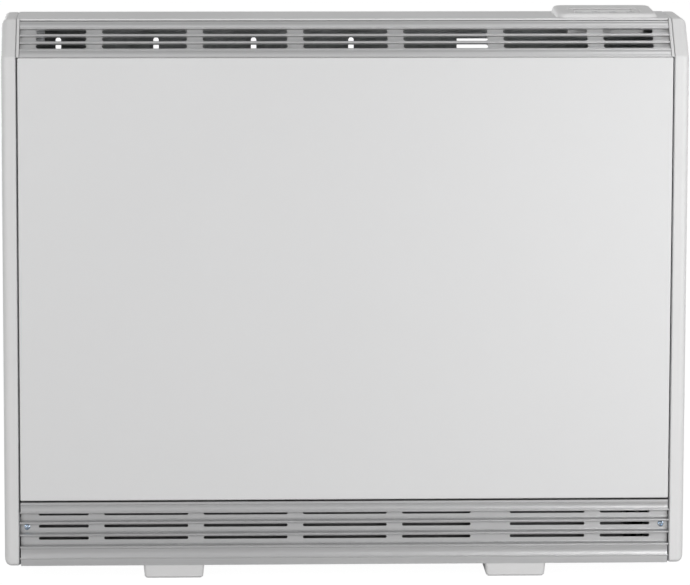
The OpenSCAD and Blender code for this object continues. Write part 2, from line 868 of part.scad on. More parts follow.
function row_z(row) = core_low + (row - 0.5) * brick_h;

// Hairpin route of the element in one brick row, drawn as a tube of radius r
module element_path(row, r) {
    bend_x = core_left + element_bend + element_legs / 2;
    for (leg = [-1, 1]) rod_right(r, box_right + element_tail - bend_x, bend_x, core_mid,
        row_z(row) + leg * element_legs / 2);
    translate([bend_x + touch, core_mid, row_z(row)]) rotate([90, 0, 0]) rotate([0, 0, 90])
        rotate_extrude(angle = 180) translate([element_legs / 2, 0]) circle(r = r, $fn = 32);
}

module sensor_path(r) {
    rod_right(r, sensor_len + side_ins + element_tail, core_right - sensor_len, core_mid,
        row_z(2));
}

// One row of the core: bricks in pairs, front and rear, grooved for the element between them
module brick_row(row) {
    color(brick) at_front() for (col = [0:brick_cols - 1], side = [0, 1]) difference() {
        translate([core_left + col * brick_w + (col > 0 ? brick_joint : 0),
            core_front + side * (brick_t + brick_joint / 2), core_low + (row - 1) * brick_h])
            cube([brick_w - (col > 0 ? brick_joint : 0), brick_t - brick_joint / 2, brick_h]);
        element_path(row, element_r + element_play);
        if (row == 2) sensor_path(sensor_r + element_play);
    }
}

// Sheathed element with an insulating bush at each end
module heating_element(row) {
    bush_len = 8;
    color(alloy) at_front() {
        element_path(row, element_r);
        for (leg = [-1, 1])
            rod_right(element_r + 1.5, bush_len, box_right + element_tail - bush_len, core_mid,
                row_z(row) + leg * element_legs / 2);
    }
}

module brick_row_1() { brick_row(1); }
module brick_row_2() { brick_row(2); }
module brick_row_3() { brick_row(3); }
module heating_element_1() { heating_element(1); }
module heating_element_2() { heating_element(2); }
module heating_element_3() { heating_element(3); }

module core_sensor() { color(zinc) at_front() sensor_path(sensor_r); }

// ---------- damper ----------

// Flap that closes the top of the air channel, rolled round its spindle
module damper_flap() {
    end_gap = 0.6;
    left = bearing_left + bearing_t / 2 + end_gap;
    right = bearing_right - bearing_t / 2 - end_gap;
    color(steel) at_front() difference() {
        union() {
            block([left, channel_front + flap_clear, spindle_z - sleeve_r],
                [right, spindle_d, spindle_z - sleeve_r + flap_t]);
            rod_right(sleeve_r, right - left, left, spindle_d, spindle_z);
        }
        rod_right(spindle_r + fit_gap, right - left + 2, left - 1, spindle_d, spindle_z);
    }
}

module damper_spindle() {
    overhang = 4;
    color(zinc) at_front() rod_right(spindle_r,
        lever_x + lever_w / 2 + overhang - bearing_left + overhang,
        bearing_left - overhang, spindle_d, spindle_z);
}

// Upright lugs on the core cover that carry the spindle
module damper_bearings() {
    lug_half = 5;
    foot_w_lug = 10;
    color(steel) at_front() for (x = [bearing_left, bearing_right]) difference() {
        union() {
            block([x - bearing_t / 2, channel_back + touch, cover_z + sheet_t],
                [x + bearing_t / 2, spindle_d + lug_half, spindle_z + lug_half]);
            block([x - (x < 0 ? foot_w_lug : 0), spindle_d + sleeve_r + 0.5, cover_z + sheet_t],
                [x + (x < 0 ? 0 : foot_w_lug), spindle_d + sleeve_r + foot_w_lug,
                cover_z + 2 * sheet_t]);
        }
        rod_right(spindle_r + running, bearing_t + 2, x - bearing_t / 2 - 1, spindle_d, spindle_z);
    }
}

module damper_lever() {
    hub_r = 5;
    color(zinc) at_front() difference() {
        union() {
            rod_right(hub_r, lever_w, lever_x - lever_w / 2, spindle_d, spindle_z);
            block([lever_x - lever_w / 2, spindle_d - lever_t / 2, spindle_z - lever_drop],
                [lever_x + lever_w / 2, spindle_d + lever_t / 2, spindle_z]);
        }
        rod_right(spindle_r + fit_gap, lever_w + 2, lever_x - lever_w / 2 - 1, spindle_d,
            spindle_z);
    }
}

module damper_actuator() {
    collar_t = 3;
    color(plastic_dark) at_front() difference() {
        union() {
            rod_back(actuator_r, actuator_len, lever_x, actuator_d, actuator_z);
            rod_back(actuator_r + 2, collar_t, lever_x, actuator_d + bracket_at - collar_t,
                actuator_z);
        }
        rod_back(plunger_r + running, plunger_in + 2, lever_x, actuator_d - 1, actuator_z);
    }
}

module actuator_plunger() {
    color(zinc) at_front() rod_back(plunger_r, plunger_out + plunger_in, lever_x,
        actuator_d - plunger_out, actuator_z);
}

// Angle on the side plate that holds the actuator
module actuator_bracket() {
    plate_t = 2;
    half = 13;
    leg = 20;
    color(steel) at_front() difference() {
        union() {
            block([lever_x - half, actuator_d + bracket_at, actuator_z - half],
                [inside_x, actuator_d + bracket_at + plate_t, actuator_z + half]);
            block([inside_x - plate_t, actuator_d + bracket_at, actuator_z - half],
                [inside_x, actuator_d + bracket_at + leg, actuator_z + half]);
        }
        rod_back(actuator_r + fit_gap, plate_t + 2, lever_x, actuator_d + bracket_at - 1,
            actuator_z);
    }
}

// ---------- control unit ----------

// Stands work on the leaning top face of the bezel, from the middle of its front edge
module on_bezel() {
    translate([control_mid, bezel_d, case_h + bezel_front_h]) rotate([bezel_tilt, 0, 0]) children();
}

// One layer of the bezel: the footprint drawn in by inset, leaning by its share of the height
module bezel_layer(inset, share) {
    corner = 12;
    translate([control_mid + bezel_aside, bezel_d, case_h + share * bezel_front_h])
        rotate([bezel_tilt * share, 0, 0]) translate([0, bezel_len / 2, 0]) linear_extrude(touch)
            round_rect(bezel_w - 2 * inset, bezel_len - 2 * inset, corner - inset / 2);
}

module control_bezel() {
    recess_corner = 4;
    window_ledge = 2;
    over = 20;
    color(white) at_front() difference() {
        hull() {
            bezel_layer(0, 0);
            bezel_layer(0.6, 0.4);
            bezel_layer(1.7, 0.72);
            bezel_layer(3.2, 0.92);
            bezel_layer(5.2, 1);
        }
        on_bezel() {
            translate([0, recess_in + recess_len / 2, -recess_deep]) linear_extrude(over)
                round_rect(recess_w, recess_len, recess_corner);
            translate([-lens_w / 2, recess_in + lens_in - lens_len / 2, -recess_deep - lens_t])
                cube([lens_w, lens_len, over]);
        }
        block([control_mid - lens_w / 2 + window_ledge, lens_d - lens_len / 2 + window_ledge,
            case_h - 1], [control_mid + lens_w / 2 - window_ledge,
            lens_d + lens_len / 2 - window_ledge, case_h + over]);
        for (k = [1:button_count]) translate([button_x(k), button_row_d, case_h - 1])
            cylinder(r = button_r + button_gap, h = over);
    }
}

function button_x(k) = control_mid + (k - (button_count + 1) / 2) * button_pitch;

// Tray under the top panel that holds the board, with the socket of its leads underneath
module control_housing() {
    post_r = 3;
    post_in = 7;
    socket_in = 15;
    socket_w = 18;
    socket_len = 12;
    socket_drop = 5;
    color(white) at_front() {
        difference() {
            block([control_mid - housing_w / 2, housing_d, case_h - housing_h],
                [control_mid + housing_w / 2, housing_d + housing_len, case_h]);
            block([control_mid - housing_w / 2 + housing_wall, housing_d + housing_wall,
                case_h - housing_h + housing_wall],
                [control_mid + housing_w / 2 - housing_wall, housing_d + housing_len - housing_wall,
                case_h + 1]);
        }
        for (x = [-1, 1], y = [post_in, housing_len - post_in])
            translate([control_mid + x * (housing_w / 2 - post_in), housing_d + y,
                case_h - housing_h + touch])
                cylinder(r = post_r, h = board_z - case_h + housing_h - touch);
        translate([control_mid - housing_w / 2 + socket_in, housing_d + housing_wall,
            case_h - housing_h - socket_drop]) cube([socket_w, socket_len, socket_drop + touch]);
    }
}

module display_lens() {
    color([0.2, 0.22, 0.24]) at_front() on_bezel()
        translate([lens_gap - lens_w / 2, recess_in + lens_in - lens_len / 2 + lens_gap,
            -recess_deep - lens_t]) cube([lens_w - 2 * lens_gap, lens_len - 2 * lens_gap, lens_t]);
}

module display_module() {
    color([0.5, 0.55, 0.5]) at_front()
        block([control_mid - lens_w / 2 + 4, lens_d - lens_len / 2 + 3, board_z + board_t],
            [control_mid + lens_w / 2 - 4, lens_d + lens_len / 2 - 3, case_h - 0.5]);
}

module control_board() {
    color([0.1, 0.35, 0.2]) at_front()
        block([control_mid - housing_w / 2 + board_edge, housing_d + board_edge, board_z],
            [control_mid + housing_w / 2 - board_edge, housing_d + housing_len - board_edge,
            board_z + board_t]);
}

module button_switches() {
    body = 6;
    knob_r = 1.7;
    color(plastic_dark) at_front() for (k = [1:button_count])
        translate([button_x(k), button_row_d, board_z + board_t]) {
            translate([-body / 2, -body / 2, 0]) cube([body, body, switch_h - 1.5]);
            cylinder(r = knob_r, h = switch_h);
        }
}

// Button with a collar under the bezel and a stem down to its switch
module button(k) {
    stem_r = 2;
    collar_t = 1;
    collar_gap = 0.3;
    stem_low = board_z + board_t + switch_h + button_travel + switch_gap;
    color([0.84, 0.84, 0.83]) at_front() translate([button_x(k), button_row_d, 0]) {
        translate([0, 0, case_h - collar_gap - collar_t]) cylinder(r = button_r + 1.2, h = collar_t);
        translate([0, 0, case_h - collar_gap - touch])
            cylinder(r = button_r, h = button_top - case_h + collar_gap + touch);
        translate([0, 0, stem_low]) cylinder(r = stem_r, h = case_h - collar_t - stem_low);
    }
}

module button_1() { button(1); }
module button_2() { button(2); }
module button_3() { button(3); }
module button_4() { button(4); }

// ---------- electrical parts in the control bay ----------

module terminal_block() {
    deep = 50;
    wide = 34;
    wells = 5;
    color([0.85, 0.83, 0.76]) at_front() difference() {
        block([inside_x - wide, core_mid - deep / 2 + 6, block_low],
            [inside_x, core_mid + deep / 2 + 6, block_low + block_h]);
        for (k = [1:wells])
            rod_right(3.2, 9, inside_x - wide - 1, core_mid + 6 + (k - (wells + 1) / 2) * 9.5,
                block_low + block_h * 0.35);
    }
}

module cable_gland() {
    flange_r = 11;
    flange_t = 3;
    color(plastic_dark) at_front() difference() {
        union() {
            rod_back(flange_r, flange_t, gland_x, back_d - flange_t, gland_z);
            rod_back(gland_seat_r - 0.1, sheet_t + 2 * touch, gland_x, back_d - touch, gland_z);
            rod_back(flange_r, flange_t, gland_x, case_d, gland_z);
        }
        rod_back(gland_r, 3 * flange_t + sheet_t, gland_x, back_d - flange_t - 1, gland_z);
    }
}

// Post and bar that grip the supply cable
module cable_clamp() {
    half = 13;
    thick = 12;
    bar = 9;
    from = back_d - 30;
    color(plastic_dark) at_front() difference() {
        union() {
            block([gland_x - half / 2, from, base_z + sheet_t],
                [gland_x + half / 2, from + thick, gland_z]);
            block([gland_x - half, from, gland_z - bar],
                [gland_x + half, from + thick, gland_z + bar]);
        }
        rod_back(gland_r, thick + 2, gland_x, from - 1, gland_z);
    }
}

module room_sensor() {
    bulb_r = 3;
    bulb_len = 16;
    x = box_right + 20;
    d = inlet_back_d + 14;
    up = 34;
    color(plastic_dark) at_front() {
        rod_back(bulb_r, bulb_len, x, d, base_z + up);
        block([x - 1.5, d + 4, base_z + sheet_t], [x + 1.5, d + 9, base_z + up]);
    }
}

module cutout_body() {
    color(plastic_dark) at_front() difference() {
        block([box_right, cutout_d, cutout_z - cutout_h / 2],
            [box_right + cutout_w, cutout_d + cutout_depth, cutout_z + cutout_h / 2]);
        rod_back(reset_r + running, reset_in + reset_travel + 1.5, cutout_x, cutout_d - 1, cutout_z);
    }
}

module cutout_reset_button() {
    color([0.75, 0.12, 0.1]) at_front()
        rod_back(reset_r, reset_out + reset_in + cutout_d - inner_panel_d - reset_sunk, cutout_x,
            inner_panel_d - reset_out + reset_sunk, cutout_z);
}

// Leads from the six element ends down to the terminal block
module wiring() {
    wire_r = 1.5;
    first_x = inside_x - 30;
    step = 4.8;
    leads = 2 * brick_rows;
    color([0.8, 0.8, 0.78]) at_front() for (k = [0:leads - 1]) {
        x = first_x + k * step;
        z = row_z(floor(k / 2) + 1) + (k % 2 == 0 ? -1 : 1) * element_legs / 2;
        rod_right(wire_r, x - box_right - element_tail, box_right + element_tail, core_mid, z);
        translate([x, core_mid, z]) sphere(r = wire_r, $fn = 24);
        translate([x, core_mid, block_low + block_h]) cylinder(r = wire_r, h = z - block_low - block_h);
    }
}

// ---------- wall fixing ----------

// Bracket drawn in the middle: one flange on the back panel, one on the wall
module wall_bracket() {
    at_front() difference() {
        translate([0, 0, fixing_z]) along_x(bracket_w) {
            translate([case_d, bracket_up]) square([bracket_t, bracket_flange]);
            translate([case_d, bracket_up]) square([wall_gap, bracket_t]);
            translate([case_d + wall_gap - bracket_t, -bracket_tail])
                square([bracket_t, bracket_tail + bracket_up + bracket_t]);
        }
        rod_back(fixing_r, bracket_t + 2, 0, case_d + wall_gap - bracket_t - 1, fixing_z);
        for (x = bracket_screw_places)
            rod_back(casing_screw_r, bracket_t + 2, x, case_d - 1, bracket_screw_z);
    }
}

module left_wall_bracket() { color(zinc) translate([-fixing_pitch / 2, 0, 0]) wall_bracket(); }
module right_wall_bracket() { color(zinc) translate([fixing_pitch / 2, 0, 0]) wall_bracket(); }

// Pan head screw with its seat at depth d; facing is 1 where the head looks to the front
module casing_screw(x, d, z, facing) {
    head_r = 3.6;
    head_t = 2.2;
    shank = 7;
    rod_back(head_r, head_t, x, facing > 0 ? d - head_t : d, z);
    rod_back(casing_screw_r - screw_play, shank, x, facing > 0 ? d - touch : d - shank + touch, z);
}

module casing_screws() {
    color(zinc) at_front() for (side = [-1, 1]) {
        for (x = bracket_screw_places)
            casing_screw(side * fixing_pitch / 2 + x, case_d + bracket_t, bracket_screw_z, -1);
        for (z = shield_screw_z)
            casing_screw(side * shield_screw_x, inner_panel_d - sheet_t, z, 1);
    }
}

left_end_cap();
right_end_cap();
left_side_plate();
right_side_plate();
back_panel();
base_plate();
left_foot();
right_foot();
foot_screws();
front_panel();
inner_front_panel();
top_panel();
outlet_grille();
left_cheek();
right_cheek();
inlet_grille();
inlet_grille_tabs();
inlet_grille_screws();
core_tray();
core_cover();
base_insulation();
rear_insulation();
front_insulation();
left_insulation();
right_insulation();
top_insulation();
brick_row_1();
brick_row_2();
brick_row_3();
heating_element_1();
heating_element_2();
heating_element_3();
damper_flap();
damper_spindle();
damper_bearings();
damper_lever();
damper_actuator();
actuator_plunger();
actuator_bracket();
control_bezel();
control_housing();
display_lens();
display_module();
control_board();
button_switches();
button_1();
button_2();
button_3();
button_4();
terminal_block();
cable_gland();
cable_clamp();
core_sensor();
room_sensor();
cutout_body();
cutout_reset_button();
wiring();
left_wall_bracket();
right_wall_bracket();
casing_screws();
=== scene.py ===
import json
import math

import bmesh
import bpy
from mathutils import Matrix, Vector


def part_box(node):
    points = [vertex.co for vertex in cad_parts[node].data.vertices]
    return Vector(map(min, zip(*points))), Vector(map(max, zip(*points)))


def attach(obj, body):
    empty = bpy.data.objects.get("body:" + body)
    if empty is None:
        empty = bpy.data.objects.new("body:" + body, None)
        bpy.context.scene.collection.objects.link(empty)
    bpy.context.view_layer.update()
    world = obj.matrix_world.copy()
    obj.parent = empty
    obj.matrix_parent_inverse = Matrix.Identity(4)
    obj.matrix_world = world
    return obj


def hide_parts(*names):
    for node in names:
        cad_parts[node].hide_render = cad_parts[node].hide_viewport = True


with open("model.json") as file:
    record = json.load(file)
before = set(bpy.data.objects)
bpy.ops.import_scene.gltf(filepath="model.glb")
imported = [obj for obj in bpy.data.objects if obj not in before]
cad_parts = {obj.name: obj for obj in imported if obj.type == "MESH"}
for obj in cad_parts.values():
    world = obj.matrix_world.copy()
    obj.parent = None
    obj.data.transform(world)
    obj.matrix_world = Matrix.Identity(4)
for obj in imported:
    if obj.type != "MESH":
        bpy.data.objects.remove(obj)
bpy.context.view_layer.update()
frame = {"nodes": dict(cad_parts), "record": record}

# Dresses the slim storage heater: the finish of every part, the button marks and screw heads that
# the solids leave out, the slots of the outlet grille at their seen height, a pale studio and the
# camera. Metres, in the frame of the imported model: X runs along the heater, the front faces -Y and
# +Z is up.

NODES = frame["nodes"]
MM = 0.001

# Width of the photograph in pixels
FRAME_W = 690

# Camera: above and a little left of the middle, looking slightly down
CAMERA_AT = (-0.2175, -5.399, 1.1701)
CAMERA_DOWN_DEG = 7.673
CAMERA_RIGHT_DEG = 2.18
CAMERA_ROLL_DEG = 0.127
CAMERA_FOCAL_PX = 4272
CAMERA_SHIFT = (0.0163, -0.10)
CAMERA_CLIP_END = 60
SENSOR_MM = 36.0


def link_new(name, data):
    """Puts a new object into the scene."""
    item = bpy.data.objects.new(name, data)
    bpy.context.scene.collection.objects.link(item)
    return item


# ---------- node helpers ----------

class Sheet:
    """A node tree that is filled by short calls."""

    def __init__(self, tree):
        self.tree = tree

    def add(self, kind, values=None, **settings):
        """Adds a node, with its settings and the values of its unlinked inputs."""
        node = self.tree.nodes.new(kind)
        for name, value in settings.items():
            setattr(node, name, value)
        for name, value in (values or {}).items():
            node.inputs[name].default_value = value
        return node

    def link(self, source, target):
        self.tree.links.new(source, target)

    def maths(self, operation, first, second=None, third=None, clamp=False):
        """A Math node on up to three values or sockets."""
        node = self.add("ShaderNodeMath", operation=operation, use_clamp=clamp)
        for socket, value in zip(node.inputs, (first, second, third)):
            if value is None:
                continue
            if isinstance(value, (int, float)):
                socket.default_value = value
            else:
                self.link(value, socket)
        return node.outputs[0]

    def spread(self, value, low, high, to_low, to_high):
        """Maps a value from one range to another."""
        node = self.add("ShaderNodeMapRange", {
            "From Min": low, "From Max": high, "To Min": to_low, "To Max": to_high,
        })
        self.link(value, node.inputs["Value"])
        return node.outputs["Result"]

    def mix(self, factor, first, second):
        """Mixes two colours by a factor socket."""
        node = self.add("ShaderNodeMix", data_type="RGBA")
        self.link(factor, node.inputs["Factor"])
        for name, value in (("A", first), ("B", second)):
            socket = [s for s in node.inputs if s.name == name and s.type == "RGBA"][0]
            if isinstance(value, (tuple, list)):
                socket.default_value = (*value[:3], 1)
            else:
                self.link(value, socket)
        return [s for s in node.outputs if s.type == "RGBA"][0]


def make_group(name, inputs, outputs):
    """A shader node group with named inputs and outputs; returns the group, its sheet, its ends."""
    tree = bpy.data.node_groups.new(name, "ShaderNodeTree")
    for label, kind, value in inputs:
        socket = tree.interface.new_socket(name=label, in_out="INPUT", socket_type=kind)
        socket.default_value = value
    for label, kind in outputs:
        tree.interface.new_socket(name=label, in_out="OUTPUT", socket_type=kind)
    sheet = Sheet(tree)
    start = sheet.add("NodeGroupInput")
    end = sheet.add("NodeGroupOutput")
    return tree, sheet, start, end


NUMBER = "NodeSocketFloat"
COLOUR = "NodeSocketColor"
VECTOR = "NodeSocketVector"

# Range in which nearly all values of a noise texture lie
NOISE_RANGE = (0.3, 0.7)


def grain_group():
    """Fine moulded or sprayed grain: a value round one half and a height for bump."""
    tree, sheet, start, end = make_group(
        "surface_grain",
        [("Scale", NUMBER, 900.0), ("Detail", NUMBER, 2.0), ("Stretch", VECTOR, (1, 1, 1))],
        [("Value", NUMBER), ("Height", NUMBER)],
    )
    place = sheet.add("ShaderNodeTexCoord")
    scaled = sheet.add("ShaderNodeVectorMath", operation="MULTIPLY")
    sheet.link(place.outputs["Object"], scaled.inputs[0])
    sheet.link(start.outputs["Stretch"], scaled.inputs[1])
    noise = sheet.add("ShaderNodeTexNoise", {"Roughness": 0.6})
    sheet.link(scaled.outputs[0], noise.inputs["Vector"])
    sheet.link(start.outputs["Scale"], noise.inputs["Scale"])
    sheet.link(start.outputs["Detail"], noise.inputs["Detail"])
    sheet.link(noise.outputs["Fac"], end.inputs["Value"])
    height = sheet.spread(noise.outputs["Fac"], *NOISE_RANGE, 0.0, 1.0)
    sheet.link(height, end.inputs["Height"])
    return tree


def drift_group():
    """Slow change of tone over a surface, as no batch of paint or plastic is quite even."""
    tree, sheet, start, end = make_group(
        "tone_drift",
        [("Color", COLOUR, (0.8, 0.8, 0.8, 1)), ("Amount", NUMBER, 0.04), ("Scale", NUMBER, 3.0)],
        [("Color", COLOUR)],
    )
    place = sheet.add("ShaderNodeTexCoord")
    noise = sheet.add("ShaderNodeTexNoise", {"Detail": 3.0, "Roughness": 0.5})
    sheet.link(place.outputs["Object"], noise.inputs["Vector"])
    sheet.link(start.outputs["Scale"], noise.inputs["Scale"])
    swing = sheet.spread(noise.outputs["Fac"], *NOISE_RANGE, -0.5, 0.5)
    change = sheet.maths("MULTIPLY", swing, start.outputs["Amount"])
    level = sheet.maths("ADD", change, 1.0)
    tinted = sheet.add("ShaderNodeVectorMath", operation="SCALE")
    sheet.link(start.outputs["Color"], tinted.inputs[0])
    sheet.link(level, tinted.inputs["Scale"])
    sheet.link(tinted.outputs[0], end.inputs["Color"])
    return tree


def edge_group():
    """Mask of the outer edges, where handling rubs a finish a little smoother and lighter."""
    tree, sheet, start, end = make_group(
        "edge_rub", [("Radius", NUMBER, 0.001), ("Gain", NUMBER, 4.0)], [("Mask", NUMBER)]
    )
    soft = sheet.add("ShaderNodeBevel", samples=4)
    sheet.link(start.outputs["Radius"], soft.inputs["Radius"])
    true = sheet.add("ShaderNodeNewGeometry")
    turn = sheet.add("ShaderNodeVectorMath", operation="DOT_PRODUCT")
    sheet.link(soft.outputs["Normal"], turn.inputs[0])
    sheet.link(true.outputs["Normal"], turn.inputs[1])
    away = sheet.maths("SUBTRACT", 1.0, turn.outputs["Value"])
    gained = sheet.maths("MULTIPLY", away, start.outputs["Gain"], clamp=True)
    sheet.link(gained, end.inputs["Mask"])
    return tree


def smudge_group():
    """Uneven sheen left by handling and wiping: a roughness that wanders between two values."""
    tree, sheet, start, end = make_group(
        "wiped_sheen",
        [("Low", NUMBER, 0.35), ("High", NUMBER, 0.45), ("Scale", NUMBER, 9.0)],
        [("Roughness", NUMBER)],
    )
    place = sheet.add("ShaderNodeTexCoord")
    noise = sheet.add("ShaderNodeTexNoise", {"Detail": 5.0, "Roughness": 0.65})
    sheet.link(place.outputs["Object"], noise.inputs["Vector"])
    sheet.link(start.outputs["Scale"], noise.inputs["Scale"])
    share = sheet.spread(noise.outputs["Fac"], 0.35, 0.65, 0.0, 1.0)
    gap = sheet.maths("SUBTRACT", start.outputs["High"], start.outputs["Low"])
    roughness = sheet.maths("MULTIPLY_ADD", share, gap, start.outputs["Low"])
    sheet.link(roughness, end.inputs["Roughness"])
    return tree


def painted_shade_group():
    """Ambient-occlusion mask of grooves and inner corners: where shade is painted, and light in the
    outlet grille's channels.
    """
    tree, sheet, start, end = make_group(
        "painted_hollow_shade", [("Reach", NUMBER, 0.006), ("Share", NUMBER, 0.5)], [("Mask", NUMBER)]
    )
    open_sky = sheet.add("ShaderNodeAmbientOcclusion", samples=8)
    sheet.link(start.outputs["Reach"], open_sky.inputs["Distance"])
    closed = sheet.spread(open_sky.outputs["AO"], 0.85, 0.3, 0.0, 1.0)
    sheet.link(sheet.maths("MULTIPLY", closed, start.outputs["Share"]), end.inputs["Mask"])
    return tree


def spangle_group():
    """Crystal pattern of a hot-dipped zinc coat."""
    tree, sheet, start, end = make_group(
        "zinc_spangle", [("Scale", NUMBER, 90.0)], [("Value", NUMBER)]
    )
    place = sheet.add("ShaderNodeTexCoord")
    wobble = sheet.add("ShaderNodeTexNoise", {"Scale": 60.0, "Detail": 2.0})
    sheet.link(place.outputs["Object"], wobble.inputs["Vector"])
    push = sheet.add("ShaderNodeVectorMath", {"Scale": 0.003}, operation="SCALE")
    sheet.link(wobble.outputs["Color"], push.inputs[0])
    moved = sheet.add("ShaderNodeVectorMath", operation="ADD")
    sheet.link(place.outputs["Object"], moved.inputs[0])
    sheet.link(push.outputs[0], moved.inputs[1])
    cells = sheet.add("ShaderNodeTexVoronoi", feature="F1")
    sheet.link(moved.outputs[0], cells.inputs["Vector"])
    sheet.link(start.outputs["Scale"], cells.inputs["Scale"])
    split = sheet.add("ShaderNodeSeparateColor")
    sheet.link(cells.outputs["Color"], split.inputs[0])
    sheet.link(split.outputs[0], end.inputs["Value"])
    return tree


GRAIN = grain_group()
DRIFT = drift_group()
EDGE = edge_group()
SHEEN = smudge_group()
# Mask for painted shade in grooves and corners, and for painted light in the outlet channels
SHADE_MASK = painted_shade_group()
SPANGLE = spangle_group()


# ---------- finishes ----------

class Finish:
    """One material: a Principled shader that takes its surface from the shared groups."""

    def __init__(self, name, metallic=0.0, specular=0.5, coat=0.0, coat_roughness=0.1):
        self.material = bpy.data.materials.new(name)
        self.material.use_nodes = True
        self.sheet = Sheet(self.material.node_tree)
        self.shader = self.material.node_tree.nodes["Principled BSDF"]
        self.shader.inputs["Metallic"].default_value = metallic
        self.shader.inputs["Specular IOR Level"].default_value = specular
        self.shader.inputs["Coat Weight"].default_value = coat
        self.shader.inputs["Coat Roughness"].default_value = coat_roughness

    def group(self, tree, **values):
        return self.sheet.add("ShaderNodeGroup", values, node_tree=tree)

    def colour(self, socket):
        self.sheet.link(socket, self.shader.inputs["Base Color"])

    def roughness(self, socket):
        self.sheet.link(socket, self.shader.inputs["Roughness"])

    def bump(self, height, distance, strength):
        node = self.sheet.add("ShaderNodeBump", {"Distance": distance, "Strength": strength})
        self.sheet.link(height, node.inputs["Height"])
        self.sheet.link(node.outputs["Normal"], self.shader.inputs["Normal"])


def rgb(red, green, blue):
    return (red, green, blue, 1.0)


def toned(colour, level):
    """The colour made darker or lighter by a factor."""
    return tuple(min(1.0, c * level) for c in colour[:3])


# Painted shade: the dark tones put into the grooves and inner corners of enamel, and of the
# extrusions
GROOVE_SHADE_TONE = rgb(0.2, 0.195, 0.19)
DEEP_SHADE_TONE = rgb(0.16, 0.155, 0.15)


def moulded(name, colour, rub, low, high, grain=1500.0, depth=0.02 * MM, specular=0.45):
    """Moulded plastic with a spark-eroded grain, a slow tone drift and rubbed edges."""
    finish = Finish(name, specular=specular)
    drift = finish.group(DRIFT, Color=colour, Amount=0.035, Scale=4.0)
    edge = finish.group(EDGE, Radius=0.9 * MM, Gain=3.0)
    share = finish.sheet.maths("MULTIPLY", edge.outputs["Mask"], 0.5)
    finish.colour(finish.sheet.mix(share, drift.outputs["Color"], rub))
    sheen = finish.group(SHEEN, Low=low, High=high, Scale=11.0)
    finish.roughness(sheen.outputs["Roughness"])
    fine = finish.group(GRAIN, Scale=grain, Detail=2.0)
    finish.bump(fine.outputs["Height"], depth, 0.5)
    return finish.material


def enamelled(name, colour):
    """Powder coat on steel: faint orange peel under an even satin sheen, painted shade in its
    grooves.
    """
    finish = Finish(name, specular=0.5)
    drift = finish.group(DRIFT, Color=colour, Amount=0.02, Scale=2.2)
    fleck = finish.group(GRAIN, Scale=2600.0, Detail=1.0)
    share = finish.sheet.spread(fleck.outputs["Value"], 0.55, 0.8, 0.0, 0.6)
    flecked = finish.sheet.mix(share, drift.outputs["Color"], toned(colour, 0.93))
    # Painted shade: goes over to a dark grey where ambient occlusion finds grooves and inner corners
    crevice = finish.group(SHADE_MASK, Reach=4 * MM, Share=0.45)
    finish.colour(finish.sheet.mix(crevice.outputs["Mask"], flecked, GROOVE_SHADE_TONE))
    sheen = finish.group(SHEEN, Low=0.46, High=0.52, Scale=6.0)
    finish.roughness(sheen.outputs["Roughness"])
    peel = finish.group(GRAIN, Scale=420.0, Detail=1.5)
    finish.bump(peel.outputs["Height"], 0.03 * MM, 0.35)
    return finish.material


def extruded(name, colour, metallic, channel_colour, channel_metallic, channel_share,
             corner_share):
    """Satin anodised extrusion with the fine lines that the die leaves along its length.

    Its channels go over to a colour and metallic of their own, painted light on the outlet grille
    and painted shade on the inlet grille, and painted shade darkens their tight corners.
    """
    finish = Finish(name, specular=0.5)
    lines = finish.group(GRAIN, Scale=1.0, Detail=3.0, Stretch=(5.0, 2600.0, 2600.0))
    broad = finish.group(GRAIN, Scale=1.0, Detail=2.0, Stretch=(1.2, 260.0, 260.0))
    drift = finish.group(DRIFT, Color=colour, Amount=0.05, Scale=2.0)
    share = finish.sheet.spread(lines.outputs["Value"], 0.35, 0.75, 0.0, 0.7)
    lined = finish.sheet.mix(share, drift.outputs["Color"], toned(colour, 0.86))
    # Painted light or painted shade in the channels, by channel_colour; painted shade in tight
    # corners
    channel = finish.group(SHADE_MASK, Reach=7 * MM, Share=channel_share)
    channel_painted = finish.sheet.mix(channel.outputs["Mask"], lined, channel_colour)
    corner = finish.group(SHADE_MASK, Reach=2.5 * MM, Share=corner_share)
    finish.colour(finish.sheet.mix(corner.outputs["Mask"], channel_painted, DEEP_SHADE_TONE))
    metal = finish.sheet.spread(channel.outputs["Mask"], 0.0, 1.0, metallic, channel_metallic)
    finish.sheet.link(metal, finish.shader.inputs["Metallic"])
    finish.roughness(finish.sheet.spread(broad.outputs["Value"], *NOISE_RANGE, 0.34, 0.42))
    finish.bump(lines.outputs["Height"], 0.012 * MM, 0.5)
    return finish.material


def galvanised(name, colour):
    """Dull zinc coated sheet with its spangle."""
    finish = Finish(name, metallic=0.85, specular=0.4)
    crystals = finish.group(SPANGLE, Scale=190.0)
    finish.colour(finish.sheet.mix(crystals.outputs["Value"], toned(colour, 0.9),
                                   toned(colour, 1.07)))
    finish.roughness(finish.sheet.spread(crystals.outputs["Value"], 0.0, 1.0, 0.42, 0.58))
    fine = finish.group(GRAIN, Scale=700.0, Detail=3.0)
    finish.bump(fine.outputs["Height"], 0.02 * MM, 0.3)
    return finish.material


def plated(name, colour):
    """Bright zinc plate with a blue passivated cast and rubbed edges."""
    finish = Finish(name, metallic=1.0, specular=0.5)
    cast = finish.group(GRAIN, Scale=240.0, Detail=2.0)
    blue = (colour[0] * 0.6, colour[1] * 0.85, colour[2] * 1.1)
    share = finish.sheet.spread(cast.outputs["Value"], 0.35, 0.65, 0.0, 1.0)
    base = finish.sheet.mix(share, blue, colour)
    edge = finish.group(EDGE, Radius=0.4 * MM, Gain=3.0)
    finish.colour(finish.sheet.mix(edge.outputs["Mask"], base, (0.86, 0.88, 0.9)))
    sheen = finish.group(SHEEN, Low=0.16, High=0.28, Scale=120.0)
    finish.roughness(sheen.outputs["Roughness"])
    fine = finish.group(GRAIN, Scale=2400.0, Detail=2.0)
    finish.bump(fine.outputs["Height"], 0.01 * MM, 0.4)
    return finish.material


